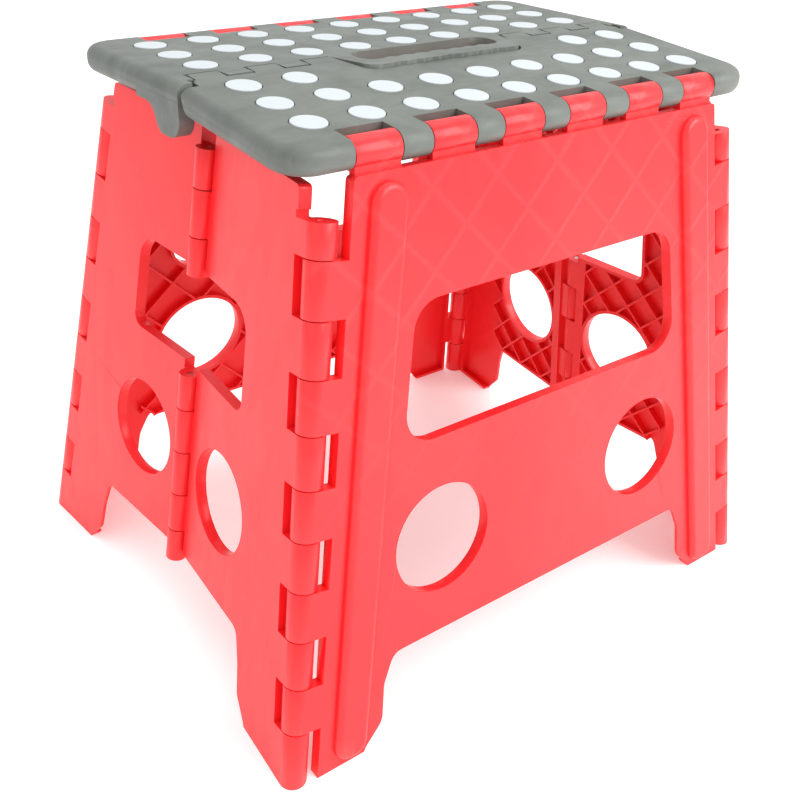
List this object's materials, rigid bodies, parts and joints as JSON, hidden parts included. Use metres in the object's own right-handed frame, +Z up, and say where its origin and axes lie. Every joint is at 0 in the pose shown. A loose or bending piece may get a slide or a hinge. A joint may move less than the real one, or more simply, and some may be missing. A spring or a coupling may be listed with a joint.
{
  "type": "folding step stool",
  "caption": "Folding plastic step stool used as a mounting block: two-leaf studded top with a carry handle, hinged side and end panels that fold flat.",
  "frame": {"origin": "centre of the footprint on the floor", "axes": "+Z up, +X along the long sides, front side panel towards -Y, left end towards -X"},
  "size_m": [0.4494, 0.3766, 0.3964],
  "materials": {
    "panel_plastic": "satin moulded",
    "top_plastic": "fine moulded grain",
    "grip_stud": "matt",
    "rod_steel": "plain drawn rod"
  },
  "bodies": {
    "side_rear": {"side_rear": "panel_plastic", "corner_rod_left_rear": "rod_steel", "corner_rod_right_rear": "rod_steel", "top_rod_rear": "rod_steel"},
    "side_front": {"side_front": "panel_plastic", "corner_rod_left_front": "rod_steel", "corner_rod_right_front": "rod_steel", "top_rod_front": "rod_steel"},
    "end_left_rear": {"end_left_rear": "panel_plastic", "middle_rods_left": "rod_steel"},
    "end_left_front": {"end_left_front": "panel_plastic"},
    "end_right_rear": {"end_right_rear": "panel_plastic", "middle_rods_right": "rod_steel"},
    "end_right_front": {"end_right_front": "panel_plastic"},
    "top_rear": {"top_rear": "top_plastic", "centre_rods": "rod_steel", "studs_rear_outer": "grip_stud", "studs_rear_middle": "grip_stud", "studs_rear_inner": "grip_stud"},
    "top_front": {"top_front": "top_plastic", "studs_front_outer": "grip_stud", "studs_front_middle": "grip_stud", "studs_front_inner": "grip_stud"}
  },
  "joints": [
    {"name": "corner_rear_left", "type": "hinge", "parent": "side_rear", "child": "end_left_rear", "pos_m": [-0.1863, 0.1456, 0.2], "axis": [0.1434, -0.1463, 0.9788], "range_deg": [0, 86.23]},
    {"name": "middle_left", "type": "hinge", "parent": "end_left_rear", "child": "end_left_front", "pos_m": [-0.18372, 0, 0.2], "axis": [-0.1323, 0, -0.9912], "range_deg": [0, 170.12]},
    {"name": "corner_front_left", "type": "hinge", "parent": "end_left_front", "child": "side_front", "pos_m": [-0.1863, -0.1456, 0.2], "axis": [0.1434, 0.1463, 0.9788], "range_deg": [0, 86.23]},
    {"name": "corner_rear_right", "type": "hinge", "parent": "side_rear", "child": "end_right_rear", "pos_m": [0.1863, 0.1456, 0.2], "axis": [0.1434, 0.1463, -0.9788], "range_deg": [0, 86.23]},
    {"name": "corner_front_right", "type": "hinge", "parent": "side_front", "child": "end_right_front", "pos_m": [0.1863, -0.1456, 0.2], "axis": [-0.1434, 0.1463, 0.9788], "range_deg": [0, 86.23]},
    {"name": "top_rear_fold", "type": "hinge", "parent": "side_rear", "child": "top_rear", "pos_m": [0, 0.11854, 0.381], "axis": [-1, 0, 0], "range_deg": [0, 79.25]},
    {"name": "top_front_fold", "type": "hinge", "parent": "side_front", "child": "top_front", "pos_m": [0, -0.11854, 0.381], "axis": [1, 0, 0], "range_deg": [0, 79.25]}
  ],
  "couplings": [
    {"joint": "middle_left", "follows": "corner_rear_left", "ratio": 1.9728},
    {"joint": "corner_front_left", "follows": "corner_rear_left", "ratio": 1},
    {"joint": "corner_rear_right", "follows": "corner_rear_left", "ratio": 1},
    {"joint": "corner_front_right", "follows": "corner_rear_left", "ratio": 1},
    {"joint": "top_rear_fold", "follows": "corner_rear_left", "ratio": 0.91907},
    {"joint": "top_front_fold", "follows": "corner_rear_left", "ratio": 0.91907}
  ]
}
